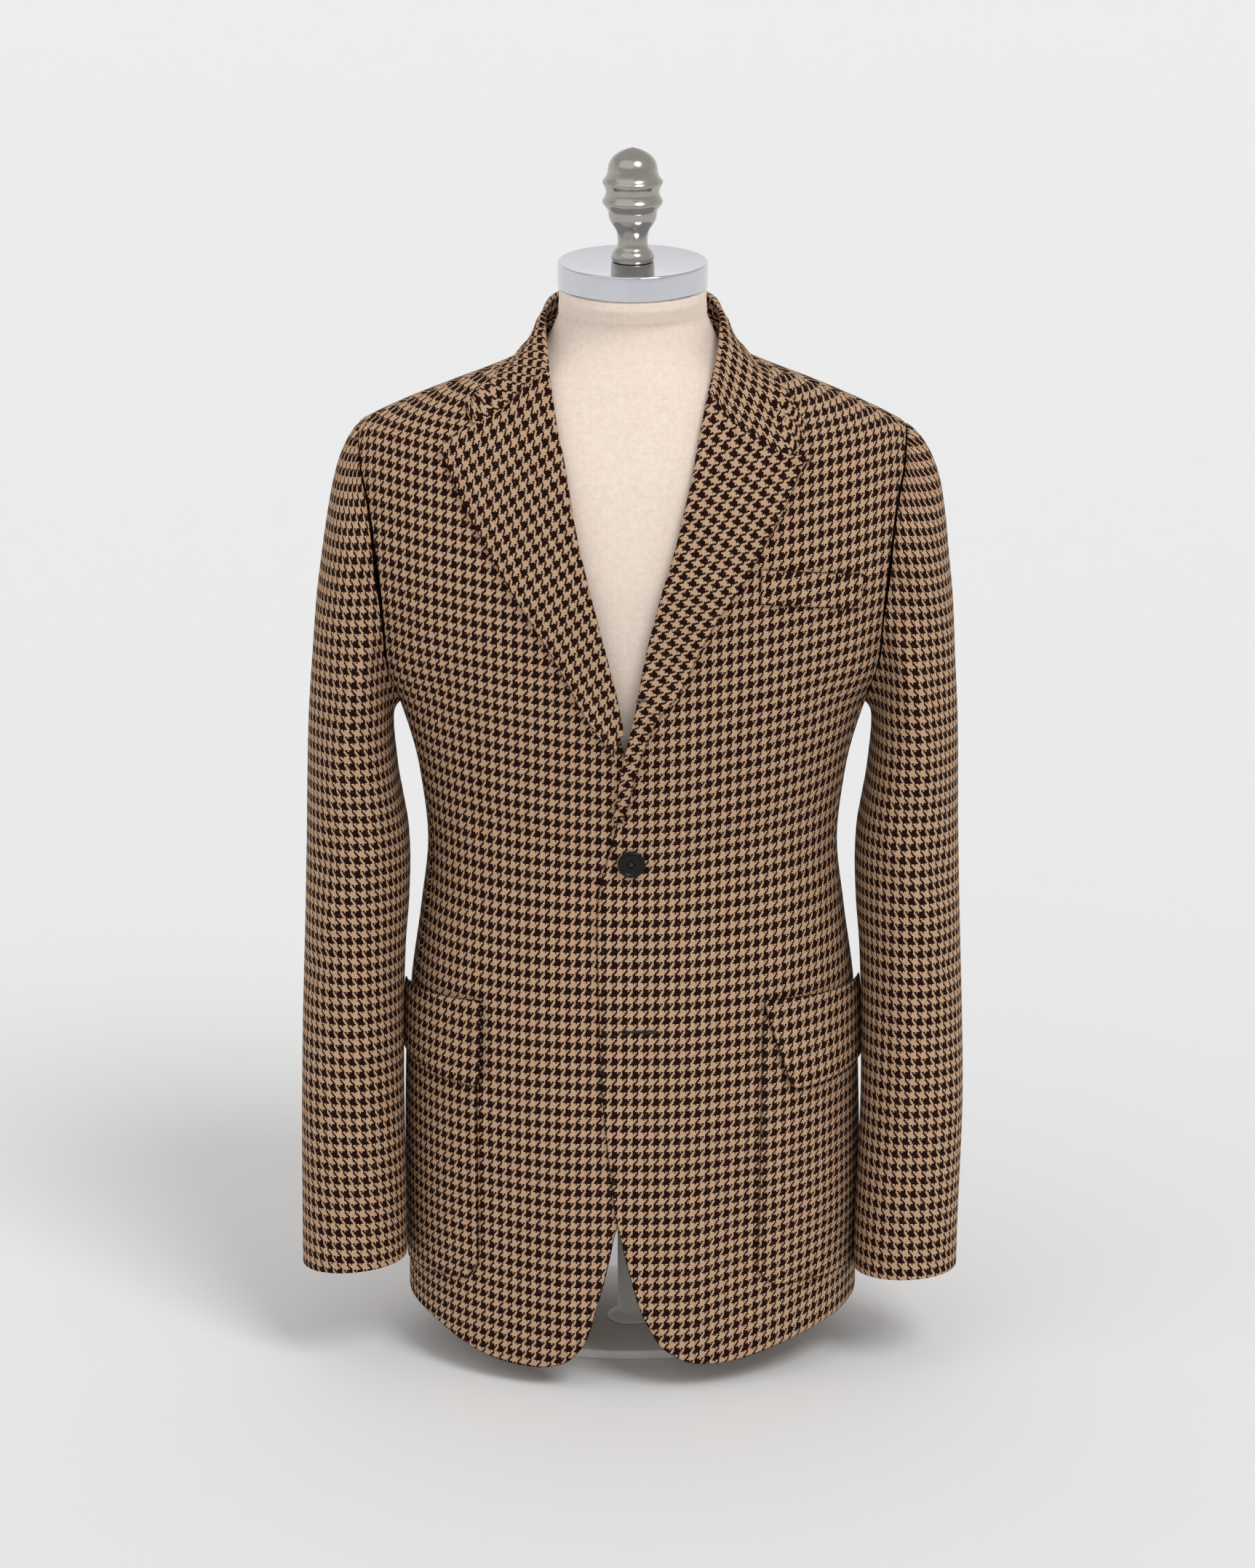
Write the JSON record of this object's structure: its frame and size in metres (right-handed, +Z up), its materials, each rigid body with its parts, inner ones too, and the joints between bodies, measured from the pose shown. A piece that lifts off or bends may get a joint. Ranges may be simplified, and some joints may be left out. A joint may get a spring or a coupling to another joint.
{
  "type": "sport coat on a dress form",
  "caption": "Single-breasted houndstooth sport coat with notch lapels and patch pockets, worn on a limbless dress form with a neck cap, a finial and a low stand.",
  "frame": {"origin": "on the underside of the base plate, straight below the stand's column", "axes": "+Z up, the coat's front faces -Y, and +X is the wearer's left"},
  "size_m": [0.529, 0.2677, 0.979],
  "materials": {
    "tweed": "matte woollen houndstooth in tan and dark brown",
    "horn": "dark horn, satin",
    "linen": "natural linen, plain weave",
    "chrome": "polished",
    "nickel": "satin nickel, lightly worn",
    "painted_steel": "pale satin paint"
  },
  "bodies": {
    "root": {"front_left": "tweed", "front_right": "tweed", "side_left": "tweed", "side_right": "tweed", "back_left": "tweed", "back_right": "tweed", "lapel_left": "tweed", "lapel_right": "tweed", "collar": "tweed", "sleeve_top_left": "tweed", "sleeve_top_right": "tweed", "sleeve_under_left": "tweed", "sleeve_under_right": "tweed", "pocket_left": "tweed", "pocket_right": "tweed", "flap_left": "tweed", "flap_right": "tweed", "breast_welt": "tweed", "button_front": "horn", "form_torso": "linen", "neck_cap": "chrome", "finial": "nickel", "stand_column": "painted_steel", "base_plate": "painted_steel"}
  },
  "joints": []
}
